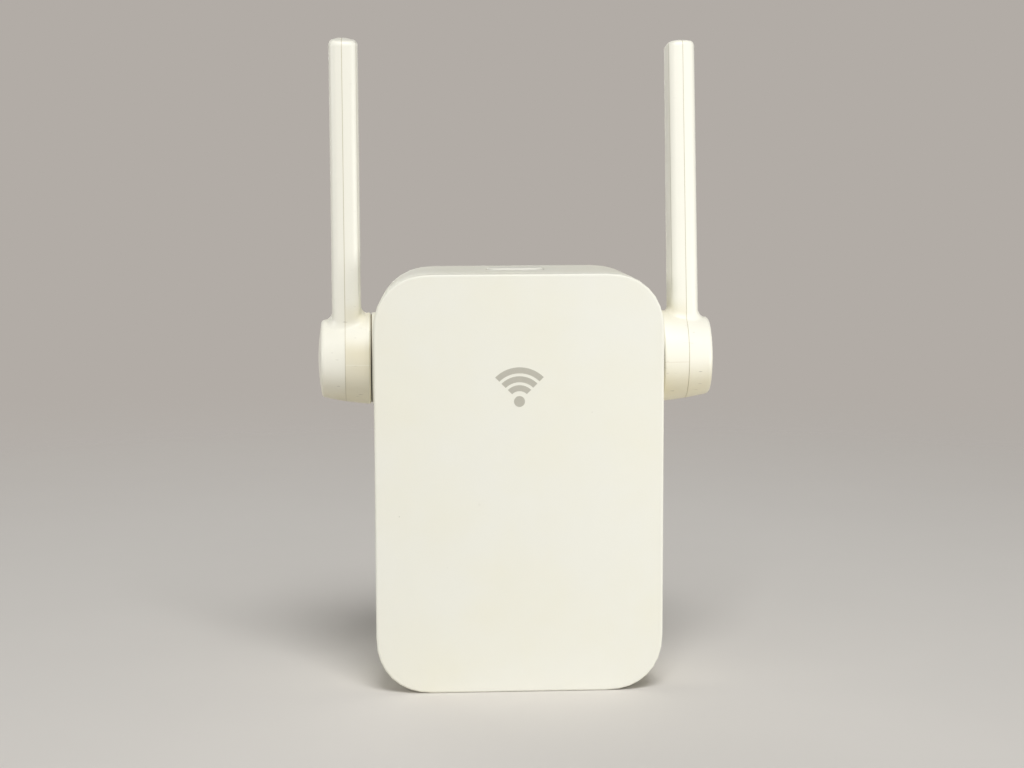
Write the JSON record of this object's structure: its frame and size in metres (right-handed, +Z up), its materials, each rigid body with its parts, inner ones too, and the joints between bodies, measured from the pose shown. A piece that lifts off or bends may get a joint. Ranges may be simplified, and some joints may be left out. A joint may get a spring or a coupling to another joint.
{
  "type": "wifi range extender",
  "caption": "Wall-plug wifi range extender: soft-cornered box with mains pins at the back, an ethernet socket underneath, a push button on top and hinged blade aerials at its sides",
  "frame": {"origin": "Middle of the plug plate's wall face", "axes": "+Y points into the wall, -Y is the front, +Z is up, +X is to the right of someone facing the front"},
  "size_m": [0.0912, 0.0552, 0.1492],
  "materials": {
    "cream_abs": "fine moulded texture, slightly yellowed cream",
    "white_abs": "smooth moulded white",
    "black_moulding": "plain black moulding",
    "green_laminate": "solder-masked laminate",
    "bright_steel": "bright plated",
    "anodised_aluminium": "clear anodised",
    "nickelled_brass": "nickel plated",
    "gold_plate": "gold plated contacts",
    "clear_acrylic": "clear moulding",
    "yellow_winding_tape": "polyester tape",
    "grey_cable_jacket": "thin coaxial jacket"
  },
  "bodies": {
    "base": {"front_cover": "cream_abs", "rear_housing": "cream_abs", "plug_plate": "cream_abs", "earth_pin": "cream_abs", "live_pin": "nickelled_brass", "neutral_pin": "nickelled_brass", "live_sleeve": "black_moulding", "neutral_sleeve": "black_moulding", "main_board": "green_laminate", "main_board_screw_1": "bright_steel", "main_board_screw_2": "bright_steel", "main_board_screw_3": "bright_steel", "main_board_screw_4": "bright_steel", "power_board": "green_laminate", "power_board_screw_1": "bright_steel", "power_board_screw_2": "bright_steel", "processor_shield": "bright_steel", "heat_sink": "anodised_aluminium", "indicator_1": "clear_acrylic", "indicator_2": "clear_acrylic", "indicator_3": "clear_acrylic", "indicator_4": "clear_acrylic", "light_guide": "clear_acrylic", "ethernet_socket": "black_moulding", "ethernet_magnetics": "black_moulding", "socket_contacts": "gold_plate", "transformer": "yellow_winding_tape", "input_capacitor_1": "black_moulding", "input_capacitor_2": "black_moulding", "output_capacitor": "black_moulding", "fuse": "clear_acrylic", "rectifier": "black_moulding", "board_header": "black_moulding", "pairing_switch": "black_moulding", "reset_switch": "black_moulding", "left_friction_washer": "bright_steel", "right_friction_washer": "bright_steel", "left_board_lead": "grey_cable_jacket", "right_board_lead": "grey_cable_jacket"},
    "left_aerial": {"left_aerial_inner_shell": "cream_abs", "left_aerial_outer_shell": "cream_abs", "left_radiator": "green_laminate", "left_aerial_lead": "grey_cable_jacket", "left_retaining_clip": "bright_steel"},
    "right_aerial": {"right_aerial_inner_shell": "cream_abs", "right_aerial_outer_shell": "cream_abs", "right_radiator": "green_laminate", "right_aerial_lead": "grey_cable_jacket", "right_retaining_clip": "bright_steel"},
    "pairing_button": {"pairing_button": "white_abs", "pairing_plunger": "white_abs"},
    "reset_plunger": {"reset_plunger": "white_abs"}
  },
  "joints": [
    {"name": "left_aerial_hinge", "type": "hinge", "parent": "base", "child": "left_aerial", "pos_m": [-0.0332, -0.0177, 0.0277], "axis": [1, 0, 0], "range_deg": [-13.5, 176]},
    {"name": "right_aerial_hinge", "type": "hinge", "parent": "base", "child": "right_aerial", "pos_m": [0.0332, -0.0177, 0.0277], "axis": [1, 0, 0], "range_deg": [-1, 188.5]},
    {"name": "pairing_button_press", "type": "slide", "parent": "base", "child": "pairing_button", "axis": [0, 0, -1], "range_m": [0, 0.0005], "stiffness_N_per_m": 1000, "springref_m": -0.001},
    {"name": "reset_press", "type": "slide", "parent": "base", "child": "reset_plunger", "axis": [0, 0, 1], "range_m": [0, 0.0003], "stiffness_N_per_m": 1000, "springref_m": -0.001}
  ]
}
